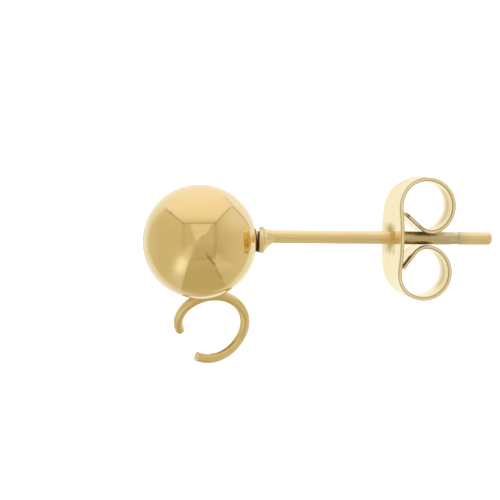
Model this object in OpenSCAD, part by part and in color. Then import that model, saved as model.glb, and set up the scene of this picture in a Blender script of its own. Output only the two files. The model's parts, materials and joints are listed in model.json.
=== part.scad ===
// Ball stud earring, lying as it rests on a table: ball, opened wire ring, ear post and butterfly clutch.
// +Z is up, +X runs along the post away from the ball, and the ring hangs off the ball's -Y side.
// Everything is first placed about the ball's centre, then tipped and shifted to where it rests.

/* [Ball] */
// Diameter of the ball
ball_d = 6; // [5.5:0.5:6.5]
// Depth of the blind hole that takes the post's peg
peg_hole_depth = 1.4; // [1:0.1:2]
// Radial gap round the peg in its hole
peg_gap = 0.02; // [0.01:0.01:0.04]

/* [Open ring] */
// Diameter of the ring's wire
wire_d = 0.52; // [0.4:0.02:0.7]
// Width of the ring along the post, over the wire's centre line
ring_wide = 3.54; // [3.4:0.02:3.7]
// Height of the ring away from the ball, over the wire's centre line
ring_tall = 3.24; // [3.1:0.02:3.4]
// How far the ring's middle lies from the ball's centre, towards the post
ring_along = 0.93; // [0.8:0.01:1.05]
// How far the ring's middle lies out from the ball's surface
ring_out = 1.71; // [1.66:0.01:1.74]
// How far the ring droops below level
ring_droop = 22; // [15:0.5:24]
// How far the ring's front end goes round from the joint
front_turn = -119; // [-150:1:-100]
// How far the ring's back end goes round from the joint
back_turn = 211; // [190:1:225]

/* [Ear post] */
// Diameter of the post
post_d = 0.7; // [0.6:0.02:0.9]
// Distance from the ball's centre to the post's free end
post_reach = 15.78; // [15:0.01:17]
// How far the post's axis passes beside the ball's centre
post_offset = 0.3; // [0:0.05:0.35]
// How far the post leans towards the ring's side
post_lean = 0.44; // [0:0.02:1]
// Radius of the rounding at the free end
tip_round = 0.18; // [0.1:0.01:0.25]
// Distance from the free end to the friction groove's sharp shoulder
groove_back = 1.83; // [1.4:0.01:2]
// Length of the friction groove's ramp
groove_long = 0.52; // [0.52:0.02:0.6]
// Depth of the friction groove
groove_deep = 0.03; // [0.02:0.01:0.05]

/* [Collar] */
// Diameter of the collar's rim
collar_d = 1.38; // [1.2:0.01:1.5]
// Thickness of the collar's rim
collar_thick = 0.25; // [0.15:0.01:0.35]
// Open seam between the collar and the ball
seam = 0.19; // [0.1:0.01:0.25]
// Diameter of the solder seat that fills the middle of the seam
seat_d = 1.1; // [0.9:0.02:1.2]
// Length of the cone that runs from the rim down to the post
cone_long = 0.47; // [0.3:0.01:0.6]
// How far the collar sits off the post's axis, towards the ring's side
collar_off = 0.19; // [0:0.01:0.25]
// How far the collar is tipped on the post, its upper side towards the ball
collar_tip = 9.5; // [0:0.5:10]

/* [Clutch] */
// Thickness of the strip
strip_t = 0.2; // [0.15:0.01:0.25]
// Width of the plate at its middle
plate_w = 4.6; // [4.2:0.1:5]
// Width of the tongues
tongue_w = 2.02; // [1.8:0.02:2.4]
// Length along the strip, from the middle, over which the plate narrows to a tongue
taper_run = 4; // [3.5:0.1:4.5]
// Distance from the ball's centre to the middle of the plate
plate_at = 10.37; // [9:0.01:11]
// How far the clutch is turned on the post
clutch_turn = 3.8; // [0:0.1:6]
// Radial clearance round the post
post_clearance = 0.025; // [0.02:0.005:0.05]
// Diameter of the dimple pressed round the hole
dimple_d = 1.76; // [1.6:0.02:1.9]
// Depth of the dimple
dimple_deep = 0.24; // [0.15:0.01:0.3]
// Flat width left round the hole at the dimple's bottom
dimple_flat = 0.06; // [0.02:0.01:0.1]

/* [Hidden] */

ball_r = ball_d / 2;
wire_r = wire_d / 2;
post_r = post_d / 2;
way_r = post_r + post_clearance;
overlap = 0.01;
cut_past = 1;
peg_hole_end = ball_r - peg_hole_depth;
peg_end_gap = 0.1;
seat_gap = 0.02;
rim_chamfer = 0.06;
dimple_wider = 0.1;
wire_sides = 14;
degrees_a_step = 7.5;
steps_a_run = 4;
gold = "#dcbd6c";
pale_gold = "#e9dcae";

// Opened ring: turn round from the solder joint, and how far the wire is bent up out of the ring's plane
TURN = 0;
LIFT = 1;
ring_lift = [
    [-150, -1.30],
    [-125, -0.96],
    [-100, -0.60],
    [-70, -0.24],
    [-35, 0.00],
    [0, 0.00],
    [45, -0.12],
    [90, -0.10],
    [120, 0.02],
    [150, 0.42],
    [180, 0.82],
    [211, 1.10],
    [240, 1.30]
];

// Loops of the clutch, from the middle of the plate to a tongue's tip: straight run, bend radius and bend
RUN = 0;
BEND_R = 1;
BEND = 2;
upper_loop = [
    [1.54, 0, 0],
    [0, 1.63, 90],
    [0, 1.44, 150],
    [0, 0.92, 71],
    [1.02, 0, 0]
];
lower_loop = [
    [1.64, 0, 0],
    [0, 1.52, 90],
    [0, 1.37, 156],
    [0, 0.92, 77],
    [0.95, 0, 0]
];

function unit(v) = v / norm(v);
function rounds(n) = [for (i = [0 : n - 1]) 360 * i / n];

// Smooth value of one column at a given turn, through the table's rows
function slope(rows, i) =
    (rows[i + 1][LIFT] - rows[i - 1][LIFT]) / (rows[i + 1][TURN] - rows[i - 1][TURN]);
function row_before(rows, turn, i = 1) =
    i >= len(rows) - 3 || rows[i + 1][TURN] >= turn ? i : row_before(rows, turn, i + 1);
function smooth(rows, turn) =
    let (
        i = row_before(rows, turn),
        span = rows[i + 1][TURN] - rows[i][TURN],
        u = (turn - rows[i][TURN]) / span
    )
    rows[i][LIFT] * (2 * u^3 - 3 * u^2 + 1) + rows[i + 1][LIFT] * (3 * u^2 - 2 * u^3)
        + span * (slope(rows, i) * (u^3 - 2 * u^2 + u) + slope(rows, i + 1) * (u^3 - u^2));

// The wire's centre line, about the ball's centre
ring_steps = 56;
ring_away = ball_r + ring_out;
out_of_ball = [0, -cos(ring_droop), -sin(ring_droop)];
up_from_ring = [0, -sin(ring_droop), cos(ring_droop)];
function wire_point(turn) =
    [ring_along + ring_wide / 2 * sin(turn), 0, 0]
        + (ring_away - ring_tall / 2 * cos(turn)) * out_of_ball
        + smooth(ring_lift, turn) * up_from_ring;
function wire_heading(turn) = unit(wire_point(turn + 1) - wire_point(turn - 1));
ring_turns = [for (i = [0 : ring_steps]) front_turn + (back_turn - front_turn) * i / ring_steps];

// The strip's centre line in the clutch's own plane, as [x, y, heading, length so far]
function bend_points(x, y, heading, length, row, n) =
    let (
        r = row[BEND_R],
        cx = x + r * cos(heading - 90),
        cy = y + r * sin(heading - 90)
    )
    [for (k = [1 : n])
        let (h = heading - row[BEND] * k / n)
        [cx + r * cos(h + 90), cy + r * sin(h + 90), h, length + r * (heading - h) * PI / 180]];
function run_points(x, y, heading, length, row, n) =
    [for (k = [1 : n])
        let (s = row[RUN] * k / n)
        [x + s * cos(heading), y + s * sin(heading), heading, length + s]];
function loop_walk(rows, i = 0, at = [0, 0, 90, 0]) =
    i == len(rows) ? [] :
    let (
        row = rows[i],
        part = row[BEND] > 0
            ? bend_points(at[0], at[1], at[2], at[3], row, ceil(row[BEND] / degrees_a_step))
            : run_points(at[0], at[1], at[2], at[3], row, steps_a_run)
    )
    concat(part, loop_walk(rows, i + 1, part[len(part) - 1]));
function strip_width(length) =
    let (u = min(1, abs(length) / taper_run))
    tongue_w + (plate_w - tongue_w) * (1 - u^2)^2;

upper_line = loop_walk(upper_loop);
lower_line = [for (p = loop_walk(lower_loop)) [p[0], -p[1], 180 - p[2], -p[3]]];
strip_line = concat(
    [for (i = [len(lower_line) - 1 : -1 : 0]) lower_line[i]],
    [[0, 0, 90, 0]],
    upper_line
);
loops_deep = max([for (p = strip_line) p[0]]);

// How far the post dips from the ball to the clutch, so that the ball and the plate's lower edge both touch z = 0
flank = max([for (p = strip_line) if (p[0] < overlap)
    strip_width(p[3]) / 2 * cos(clutch_turn) + abs(p[1]) * sin(clutch_turn)]);
plate_back = plate_at + strip_t / 2;
post_dip = asin(ball_r / norm([flank, plate_back])) - atan2(flank, plate_back);

// The origin is under the middle of the whole
wire_line = [for (turn = ring_turns) wire_point(turn)];
front_y = min([for (p = wire_line) p[1]]) - wire_r;
back_y = post_offset - plate_at * sin(post_lean) + max([for (p = upper_line) p[1]]) + strip_t / 2;
shift_x = (ball_r - post_reach * cos(post_dip)) / 2;
shift_y = -(front_y + back_y) / 2;

// A solid from a row of like cross-sections
module sweep(sections) {
    sides = len(sections[0]);
    last = len(sections) - 1;
    polyhedron(
        points = [for (s = sections) each s],
        faces = concat(
            [[for (k = [0 : sides - 1]) k]],
            [for (i = [0 : last - 1], k = [0 : sides - 1])
                [i * sides + k, (i + 1) * sides + k, (i + 1) * sides + (k + 1) % sides, i * sides + (k + 1) % sides]],
            [[for (k = [sides - 1 : -1 : 0]) last * sides + k]]
        )
    );
}

module at_rest() {
    translate([shift_x, shift_y, ball_r])
        rotate([0, post_dip, 0])
            children();
}

// Puts +Z along the post, starting at the ball's middle
module on_post() {
    translate([0, post_offset, 0])
        rotate([0, 0, -post_lean])
            rotate([0, 90, 0])
                children();
}

module wire_ring() {
    sweep([for (turn = ring_turns)
        let (
            along = wire_heading(turn),
            side = unit(cross(along, up_from_ring)),
            over = cross(side, along)
        )
        [for (a = rounds(wire_sides)) wire_point(turn) + wire_r * (cos(a) * over + sin(a) * side)]]);
}

module ball() {
    color(gold)
        at_rest() {
            difference() {
                sphere(r = ball_r, $fn = 96);
                on_post()
                    translate([0, 0, peg_hole_end])
                        cylinder(r = post_r + peg_gap, h = peg_hole_depth + cut_past, $fn = 48);
            }
            wire_ring();
        }
}

// Half outline of the post: peg, stem with its friction groove, and rounded end
module post_outline() {
    groove_end = post_reach - groove_back;
    polygon(concat(
        [
            [0, peg_hole_end + peg_end_gap],
            [post_r, peg_hole_end + peg_end_gap],
            [post_r, groove_end - groove_long],
            [post_r - groove_deep, groove_end - groove_deep],
            [post_r, groove_end]
        ],
        [for (a = [0 : 15 : 90])
            [post_r - tip_round + tip_round * cos(a), post_reach - tip_round + tip_round * sin(a)]],
        [[0, post_reach]]
    ));
}

// Puts the collar's own middle where it sits on the post
module on_collar() {
    translate([0, -collar_off, ball_r + seam + collar_thick / 2])
        rotate([0, -collar_tip, 0])
            children();
}

module ear_post() {
    color(gold)
        at_rest()
            on_post() {
                rotate_extrude($fn = 64)
                    post_outline();
                on_collar()
                    cylinder(d = collar_d, h = collar_thick, center = true, $fn = 64);
                translate([0, -collar_off, ball_r + seat_gap])
                    cylinder(d = seat_d, h = seam - seat_gap + collar_thick / 2, $fn = 48);
                hull() {
                    on_collar()
                        translate([0, 0, collar_thick / 2 - overlap])
                            cylinder(d = collar_d - 2 * rim_chamfer, h = overlap, $fn = 32);
                    translate([0, 0, ball_r + seam + collar_thick + cone_long - overlap])
                        cylinder(r = post_r - overlap, h = overlap, $fn = 32);
                }
            }
}

module strip() {
    sweep([for (p = strip_line)
        let (
            nx = -sin(p[2]) * strip_t / 2,
            ny = cos(p[2]) * strip_t / 2,
            half = strip_width(p[3]) / 2
        )
        [
            [p[0] + nx, p[1] + ny, half],
            [p[0] - nx, p[1] - ny, half],
            [p[0] - nx, p[1] - ny, -half],
            [p[0] + nx, p[1] + ny, -half]
        ]]);
}

// Pressed cone round the hole, its wide end at one face of the plate
module dimple(from, to, wider) {
    translate([0, 0, plate_at + from])
        cylinder(d1 = dimple_d + wider, d2 = 2 * (way_r + dimple_flat) + wider, h = to - from, $fn = 48);
}

module clutch() {
    color(pale_gold)
        at_rest()
            difference() {
                union() {
                    translate([0, post_offset, 0])
                        rotate([0, 0, -post_lean])
                            translate([plate_at, 0, 0])
                                rotate([clutch_turn, 0, 0])
                                    strip();
                    on_post()
                        dimple(0, dimple_deep + strip_t / 2, dimple_wider);
                }
                on_post() {
                    translate([0, 0, plate_at - cut_past])
                        cylinder(r = way_r, h = loops_deep + 2 * cut_past, $fn = 48);
                    dimple(-strip_t / 2 - overlap, dimple_deep - strip_t / 2, 0);
                }
            }
}

ball();
ear_post();
clutch();
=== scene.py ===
import json
import math

import bmesh
import bpy
import numpy as np
from mathutils import Matrix, Vector


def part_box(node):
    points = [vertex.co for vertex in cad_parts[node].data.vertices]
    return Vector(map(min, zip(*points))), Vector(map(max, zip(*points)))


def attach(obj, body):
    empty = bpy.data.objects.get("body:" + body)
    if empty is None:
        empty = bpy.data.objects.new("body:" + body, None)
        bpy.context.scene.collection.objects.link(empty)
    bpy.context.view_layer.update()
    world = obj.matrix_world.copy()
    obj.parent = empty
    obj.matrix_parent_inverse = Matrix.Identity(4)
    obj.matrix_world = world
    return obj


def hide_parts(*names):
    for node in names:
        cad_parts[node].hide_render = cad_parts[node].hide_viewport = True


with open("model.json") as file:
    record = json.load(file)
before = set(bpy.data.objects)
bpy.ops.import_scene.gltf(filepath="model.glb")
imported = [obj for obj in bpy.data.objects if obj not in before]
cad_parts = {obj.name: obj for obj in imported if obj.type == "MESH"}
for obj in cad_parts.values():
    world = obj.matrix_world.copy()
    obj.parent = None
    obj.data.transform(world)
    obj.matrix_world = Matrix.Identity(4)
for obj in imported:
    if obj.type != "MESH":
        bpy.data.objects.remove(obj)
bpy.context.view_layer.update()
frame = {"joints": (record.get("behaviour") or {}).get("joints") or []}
mm = 0.001
hair = 0.001  # mm, for telling which side of a corner a point lies on

# Where the frame says things lie. The ring is on the ball's low-Y side, so the other sides give the ball
ballLow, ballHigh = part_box("ball")
ballRadius = (ballHigh.z - ballLow.z) / 2
ballCentre = Vector((ballLow.x + ballRadius, ballHigh.y - ballRadius, ballHigh.z - ballRadius))
postAxis = Vector(frame["joints"][0]["axis"]).normalized()
postDip = math.atan2(-postAxis.z, postAxis.x)
postLean = math.asin(-postAxis.y)
postOffset = 0.3 * mm  # the post passes this far beside the ball's centre
studPlace = Matrix.Translation(ballCentre) @ Matrix.Rotation(postDip, 4, "Y")
postPlace = studPlace @ Matrix.Translation((0, postOffset, 0)) @ Matrix.Rotation(-postLean, 4, "Z")


# Small helpers

def linearColour(hexCode):
    channels = [int(hexCode[i:i + 2], 16) / 255 for i in (1, 3, 5)]
    return [c / 12.92 if c <= 0.04045 else ((c + 0.055) / 1.055) ** 2.4 for c in channels] + [1.0]


def addNode(tree, kind, inputs=None, **settings):
    node = tree.nodes.new(kind)
    for name, value in settings.items():
        setattr(node, name, value)
    for socket, value in (inputs or {}).items():
        if isinstance(value, bpy.types.NodeSocket):
            tree.links.new(value, node.inputs[socket])
        else:
            node.inputs[socket].default_value = value
    return node


def emptyTree(owner):
    # The node tree of a new material or world, with nothing in it yet
    owner.use_nodes = True
    owner.node_tree.nodes.clear()
    return owner.node_tree


def smoothStep(low, high, value):
    t = np.clip((value - low) / (high - low), 0.0, 1.0)
    return t * t * (3 - 2 * t)


def trapezoid(corners, value):
    fadeIn, full, stillFull, fadeOut = corners
    return smoothStep(fadeIn, full, value) * (1 - smoothStep(stillFull, fadeOut, value))


def bell(offset, spread):
    return np.exp(-(offset / spread) ** 2)


def turnsRound(count):
    return [2 * math.pi * k / count for k in range(count)]


def quarterTurn(step):
    # Sines and cosines from 0 to 90 degrees
    return [(math.sin(math.radians(a)), math.cos(math.radians(a))) for a in range(0, 91, step)]


def circle(radius, steps, centreY=0.0, along=0.0):
    # A ring of points round the post's own axis, in mm
    return [(along, centreY + radius * math.cos(a), radius * math.sin(a)) for a in turnsRound(steps)]


def meshFrom(body, name):
    mesh = bpy.data.meshes.new(name)
    body.to_mesh(mesh)
    body.free()
    return mesh


def newObject(name, mesh):
    piece = bpy.data.objects.new(name, mesh)
    bpy.context.scene.collection.objects.link(piece)
    return piece


def loft(name, rings, place, edgeColumns=()):
    # Joins like rings of points, in mm, into one closed skin; edgeColumns get the second material
    sides = len(rings[0])
    body = bmesh.new()
    corners = [[body.verts.new(place @ (Vector(p) * mm)) for p in ring] for ring in rings]
    for near, far in zip(corners, corners[1:]):
        for k in range(sides):
            face = body.faces.new((near[k], near[(k + 1) % sides], far[(k + 1) % sides], far[k]))
            face.material_index = 1 if k in edgeColumns else 0
    for end in (corners[0], corners[-1]):
        face = body.faces.new(end)
        face.material_index = 1 if edgeColumns else 0
    bmesh.ops.recalc_face_normals(body, faces=body.faces)
    return newObject(name, meshFrom(body, name))


def cutAway(piece, tool):
    # Takes the tool's space out of the piece for good
    cut = piece.modifiers.new("cut", "BOOLEAN")
    cut.operation = "DIFFERENCE"
    cut.solver = "EXACT"
    cut.object = tool
    evaluated = piece.evaluated_get(bpy.context.evaluated_depsgraph_get())
    mesh = bpy.data.meshes.new_from_object(evaluated)
    piece.modifiers.clear()
    piece.data = mesh
    bpy.data.objects.remove(tool)


def shadeSmooth(piece, sharpAngle=38):
    piece.data.shade_smooth()
    piece.data.set_sharp_from_angle(angle=math.radians(sharpAngle))


def pointsOf(piece, place):
    # The piece's points in a place's own frame, in mm
    flat = np.empty(len(piece.data.vertices) * 3, np.float32)
    piece.data.vertices.foreach_get("co", flat)
    back = np.array(place.inverted())
    return (flat.reshape(-1, 3) @ back[:3, :3].T + back[:3, 3]) / mm


def movePoints(piece, place, points):
    # Puts the piece's points where they are given in a place's own frame, in mm
    forth = np.array(place)
    moved = points * mm @ forth[:3, :3].T + forth[:3, 3]
    piece.data.vertices.foreach_set("co", moved.astype(np.float32).ravel())


def setGrain(piece, values):
    # Where each point would lie on the straight stock, in mm, for marks that follow wire and strip
    grain = piece.data.attributes.new("grain", "FLOAT_VECTOR", "POINT")
    grain.data.foreach_set("vector", np.asarray(values, np.float32).ravel())


def setMark(piece, name, values):
    mark = piece.data.attributes.new(name, "FLOAT", "POINT")
    mark.data.foreach_set("value", np.asarray(values, np.float32))


def finishPiece(piece, node, body, slot, *materials):
    for material in materials:
        piece.data.materials.append(material)
    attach(piece, body)
    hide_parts(node)


# Camera: straight down on the lying earring, a little towards the post's far end
cameraSpec = {
    "tilt": 5.8,  # degrees off straight down
    "distance": 120.0,  # mm from the ball
    "lens": 164.8,  # on a 36 mm sensor
    "ballInView": (-2.623, 0.436),  # mm right of and above the picture's middle
}
tilt = math.radians(cameraSpec["tilt"])
viewDirection = Vector((math.sin(tilt), 0, -math.cos(tilt)))
viewRight = Vector((math.cos(tilt), 0, math.sin(tilt)))
viewUp = Vector((0, 1, 0))
viewAxes = Matrix((viewRight, viewUp, -viewDirection)).transposed()


def makeCamera(spec):
    data = bpy.data.cameras.new("camera")
    data.lens = spec["lens"]
    data.clip_start = 1 * mm
    camera = newObject("camera", data)
    right, up = spec["ballInView"]
    aim = ballCentre - viewRight * right * mm - viewUp * up * mm
    stand = aim - viewDirection * spec["distance"] * mm
    camera.matrix_world = Matrix.Translation(stand) @ viewAxes.to_4x4()
    bpy.context.scene.camera = camera


makeCamera(cameraSpec)
print("camera set")


# Materials: stainless steel electroplated with gold, and silver solder. All of them share these
plateSpec = {
    "cloudRange": (0.35, 0.65),  # how sharply thin plate turns to thick
    "hairlineRange": (0.35, 0.70),  # how sharply smooth turns to rough
    "stainAndShade": "#735527",  # old flux and grime, and the colour of painted shade in crevices and dark reflections
    "stainShadeMetallic": 0.6,
    "stainShadeRoughness": 0.55,  # added to the metal's own
    "stainShadeSpread": 1.5,  # the higher, the further a mark's specks join up
}


def platePlace(tree, spec):
    # In mm: along the wire or strip where it was drawn or pressed, or else in space
    if spec["follows"] == "grain":
        return addNode(tree, "ShaderNodeAttribute", attribute_name="grain").outputs["Vector"]
    coordinates = addNode(tree, "ShaderNodeTexCoord").outputs["Object"]
    return addNode(tree, "ShaderNodeVectorMath", {0: coordinates, 1: (1 / mm, 1 / mm, 1 / mm)},
                   operation="MULTIPLY").outputs["Vector"]


def plateColour(tree, place, spec):
    # Faint clouds where the plate is thinner, and a second colour where the piece is worn bare and where its
    # mark paints shade and reflections
    clouds = addNode(tree, "ShaderNodeTexNoise",
                     {"Vector": place, "Scale": 1 / spec["cloudMm"], "Detail": 3.0})
    colours = addNode(tree, "ShaderNodeValToRGB", {"Fac": clouds.outputs["Fac"]})
    stops = zip(colours.color_ramp.elements, plateSpec["cloudRange"], (spec["thinPlate"], spec["thickPlate"]))
    for stop, position, hexCode in stops:
        stop.position = position
        stop.color = linearColour(hexCode)
    bareAndPaintedLight = addNode(tree, "ShaderNodeAttribute", attribute_name="bareAndPaintedLight").outputs["Fac"]
    return addNode(tree, "ShaderNodeMix", {
        0: bareAndPaintedLight, 6: colours.outputs["Color"], 7: linearColour(spec["wornAndPaintedLight"])}, data_type="RGBA").outputs[2]


def plateStainAndShade(tree, place, spec):
    # From 0 to 1 where the piece is marked with stain and with painted shade, broken up into specks
    stainAndShade = addNode(tree, "ShaderNodeAttribute", attribute_name="stainAndShade").outputs["Fac"]
    specks = addNode(tree, "ShaderNodeTexNoise",
                     {"Vector": place, "Scale": 1 / spec["speckMm"], "Detail": 3.0})
    spread = addNode(tree, "ShaderNodeMath", {
        0: stainAndShade, 1: plateSpec["stainShadeSpread"], 2: specks.outputs["Fac"]}, operation="MULTIPLY_ADD")
    return addNode(tree, "ShaderNodeMath", {0: spread.outputs[0], 1: 1.0},
                   operation="SUBTRACT", use_clamp=True).outputs[0]


def plateRelief(tree, place, hairlines, spec):
    # Small dents that bend the reflections, with the hairlines on them
    dents = addNode(tree, "ShaderNodeTexNoise",
                    {"Vector": place, "Scale": 1 / spec["dentMm"], "Detail": 1.0})
    dented = addNode(tree, "ShaderNodeBump", {
        "Strength": 1.0, "Distance": spec["dentHeight"] * mm, "Height": dents.outputs["Fac"]})
    return addNode(tree, "ShaderNodeBump", {
        "Strength": 1.0, "Distance": spec["lineHeight"] * mm, "Height": hairlines,
        "Normal": dented.outputs["Normal"]}).outputs["Normal"]


def finishedMetal(name, spec):
    # Real thing: 316 steel with a bright gold plate, which mirrors with faint clouds, hairlines from
    # polishing or drawing, and small dents. The solder is the same, only rougher and with no plate, and dark
    # as painted shade in its seam. Two marks on a piece's points add to it: one gives a second colour where
    # the piece is worn and where it paints shade and reflections, and one darkens it where flecks of stain
    # sit and where it paints shade in crevices and dark reflections.
    material = bpy.data.materials.new(name)
    tree = emptyTree(material)
    place = platePlace(tree, spec)
    plated = plateColour(tree, place, spec)
    stainShadeShare = plateStainAndShade(tree, place, spec)
    stainedAndShaded = addNode(tree, "ShaderNodeMix", {
        0: stainShadeShare, 6: plated, 7: linearColour(plateSpec["stainAndShade"])}, data_type="RGBA")
    metallic = addNode(tree, "ShaderNodeMapRange", {
        "Value": stainShadeShare, "To Min": spec["metallic"], "To Max": plateSpec["stainShadeMetallic"]})
    stretched = addNode(tree, "ShaderNodeVectorMath", {0: place, 1: spec["lineStretch"]},
                        operation="MULTIPLY")
    hairlines = addNode(tree, "ShaderNodeTexNoise", {
        "Vector": stretched.outputs["Vector"], "Scale": 1 / spec["lineMm"], "Detail": 2.0}).outputs["Fac"]
    smooth, rough = spec["roughness"]
    faint, strong = plateSpec["hairlineRange"]
    roughness = addNode(tree, "ShaderNodeMapRange", {
        "Value": hairlines, "From Min": faint, "From Max": strong, "To Min": smooth, "To Max": rough})
    duller = addNode(tree, "ShaderNodeMath", {
        0: stainShadeShare, 1: plateSpec["stainShadeRoughness"], 2: roughness.outputs["Result"]},
        operation="MULTIPLY_ADD", use_clamp=True)
    shader = addNode(tree, "ShaderNodeBsdfPrincipled", {
        "Base Color": stainedAndShaded.outputs[2], "Metallic": metallic.outputs["Result"],
        "Roughness": duller.outputs[0], "Normal": plateRelief(tree, place, hairlines, spec)})
    addNode(tree, "ShaderNodeOutputMaterial", {"Surface": shader.outputs["BSDF"]})
    return material


# Buffed to a mirror: hardly a line to be seen
polishedPlate = finishedMetal("goldPlatedSteelPolished", {
    "follows": "object",
    "thinPlate": "#f8dfa6", "thickPlate": "#fae4ac", "cloudMm": 2.2,
    "lineMm": 0.25, "lineStretch": (1.0, 0.35, 1.0), "lineHeight": 0.00002,
    "roughness": (0.03, 0.06), "metallic": 1.0,
    "dentMm": 1.1, "dentHeight": 0.0006,
    "wornAndPaintedLight": "#c8b78a", "speckMm": 0.10,
})
# Drawn and bent by hand: fine lines along the wire, and pliers' dents
drawnWire = finishedMetal("goldPlatedWireDrawn", {
    "follows": "grain",
    "thinPlate": "#f1dba6", "thickPlate": "#f8e6b6", "cloudMm": 0.9,
    "lineMm": 0.09, "lineStretch": (0.06, 1.0, 1.0), "lineHeight": 0.0003,
    "roughness": (0.18, 0.32), "metallic": 1.0,
    "dentMm": 0.45, "dentHeight": 0.010,
    "wornAndPaintedLight": "#f7e8bb", "speckMm": 0.09,
})
# Drawn post: satin, and greyer where the clutch's loops show in it, a painted reflection
drawnPost = finishedMetal("goldPlatedPostDrawn", {
    "follows": "grain",
    "thinPlate": "#fbe4b0", "thickPlate": "#feebbe", "cloudMm": 1.6,
    "lineMm": 0.11, "lineStretch": (0.05, 1.0, 1.0), "lineHeight": 0.0002,
    "roughness": (0.20, 0.30), "metallic": 0.85,
    "dentMm": 0.8, "dentHeight": 0.003,
    # its worn colour paints the grey reflection of the clutch's loops
    "wornAndPaintedLight": "#d2ccb4", "speckMm": 0.16,
})
# Rolled and pressed strip: a paler plate, nearly a mirror
pressedStrip = finishedMetal("goldPlatedStripPressed", {
    "follows": "grain",
    "thinPlate": "#f6e5ac", "thickPlate": "#fae9b5", "cloudMm": 1.4,
    "lineMm": 0.12, "lineStretch": (0.08, 1.0, 1.0), "lineHeight": 0.0002,
    "roughness": (0.10, 0.18), "metallic": 1.0,
    "dentMm": 0.9, "dentHeight": 0.004,
    # its worn colour paints the shade band inside the loops and the dark reflection round the hole
    "wornAndPaintedLight": "#c3a257", "speckMm": 0.08,
})
# The strip's edge as the shear left it: matt, torn across its thickness
shearedEdge = finishedMetal("goldPlatedStripShearedEdge", {
    "follows": "grain",
    "thinPlate": "#f7e2b4", "thickPlate": "#fdeac4", "cloudMm": 0.5,
    "lineMm": 0.05, "lineStretch": (1.0, 0.2, 0.2), "lineHeight": 0.0006,
    "roughness": (0.45, 0.60), "metallic": 0.5,
    "dentMm": 0.3, "dentHeight": 0.003,
    # its worn colour paints shade on the edge off its middle line
    "wornAndPaintedLight": "#b3a274", "speckMm": 0.06,
})
# Solder in the seam: rough, and dark brown as painted shade in the gap under the collar
shadedSolder = finishedMetal("silverSolderShadedDark", {
    "follows": "grain",
    "thinPlate": "#7a5f30", "thickPlate": "#9a7c48", "cloudMm": 0.2,
    "lineMm": 0.06, "lineStretch": (1.0, 1.0, 1.0), "lineHeight": 0.002,
    "roughness": (0.45, 0.7), "metallic": 0.3,
    "dentMm": 0.15, "dentHeight": 0.01,
    "wornAndPaintedLight": "#4a3a20", "speckMm": 0.1,
})
print("materials made")


# Ball: mirror-polished, with the blind hole that takes the post's peg
ballSpec = {
    "divisions": 96,  # quads along each side of the round cube
    "holeRadius": 0.37,
    "holeDepth": 1.4,
    "holeSides": 48,
    "drillPast": 0.5,  # how far outside the ball the drill starts
    "seamShade": (0.56, 0.68),  # painted shade in the seam under the collar: full and gone, mm from the collar's middle
    "jointShade": (0.0, 0.07),  # painted contact shade by the wire: full and gone, mm from the soldered wire
}


def makeBall(spec):
    body = bmesh.new()
    bmesh.ops.create_cube(body, size=2)
    bmesh.ops.subdivide_edges(body, edges=body.edges, cuts=spec["divisions"] - 1, use_grid_fill=True)
    for vert in body.verts:
        even = Vector([math.tan(c * math.pi / 4) for c in vert.co])  # keeps the quads alike in size
        vert.co = studPlace @ (even.normalized() * ballRadius)
    ball = newObject("polished_ball", meshFrom(body, "ball"))
    drillEnds = (ballRadius / mm - spec["holeDepth"], ballRadius / mm + spec["drillPast"])
    rings = [circle(spec["holeRadius"], spec["holeSides"], along=s) for s in drillEnds]
    cutAway(ball, loft("drill", rings, postPlace))
    shadeSmooth(ball)
    return ball


polishedBall = makeBall(ballSpec)
print("ball made,", len(polishedBall.data.polygons), "faces")


# Opened ring: round wire soldered to the ball and bent open by hand
ringSpec = {
    "wireRadius": 0.259,
    "wide": 3.54,
    "tall": 3.24,
    "along": 0.93,  # its middle, towards the post
    "away": 4.71,  # its middle, out from the ball's centre
    "droop": 22,  # degrees it leans down from level
    "turns": (-119, 211),  # front end and back end, round from the joint
    "steps": 240,
    "sides": 28,
    "filedLong": 0.11,  # length of the filed front end
    "filedTip": 0.02,  # radius of the flat on it
    "filedPower": 2.6,  # how square its shoulder is
    "filedSteps": 12,
    "filedBare": 0.16,  # length of wire that filing wore bare
    "cutBevel": 0.02,
    "cutSlant": 0.12,  # how much further the nipped end reaches on its inner side
    "cutPower": 1.5,  # how soon that slant begins
    "cutBare": 0.05,
    "solderedTurns": 50,  # degrees to either side of the joint that the ball's painted contact shade follows
    "wireJointShade": 0.06,  # painted contact shade on the wire reaches this far from the ball, in mm
    "lift": [  # turn round from the joint, and how far the wire is bent up out of the ring's plane
        (-150, -1.30), (-125, -0.96), (-100, -0.60), (-70, -0.24), (-35, 0.00), (0, 0.00), (45, -0.12),
        (90, -0.10), (120, 0.02), (150, 0.42), (180, 0.82), (211, 1.10), (240, 1.30),
    ],
}


def slopeAt(rows, k):
    (turnBefore, before), (turnAfter, after) = rows[k - 1], rows[k + 1]
    return (after - before) / (turnAfter - turnBefore)


def liftAt(rows, turn):
    # Smooth value through a table's rows
    i = 1
    while i < len(rows) - 3 and rows[i + 1][0] < turn:
        i += 1
    (turnLow, low), (turnHigh, high) = rows[i], rows[i + 1]
    span = turnHigh - turnLow
    u = (turn - turnLow) / span
    return (low * (2 * u**3 - 3 * u**2 + 1) + high * (3 * u**2 - 2 * u**3)
            + span * (slopeAt(rows, i) * (u**3 - 2 * u**2 + u) + slopeAt(rows, i + 1) * (u**3 - u**2)))


def ringAxes(spec):
    # Out from the ball in the ring's plane, and up out of that plane
    droop = math.radians(spec["droop"])
    return Vector((0, -math.cos(droop), -math.sin(droop))), Vector((0, -math.sin(droop), math.cos(droop)))


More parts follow.
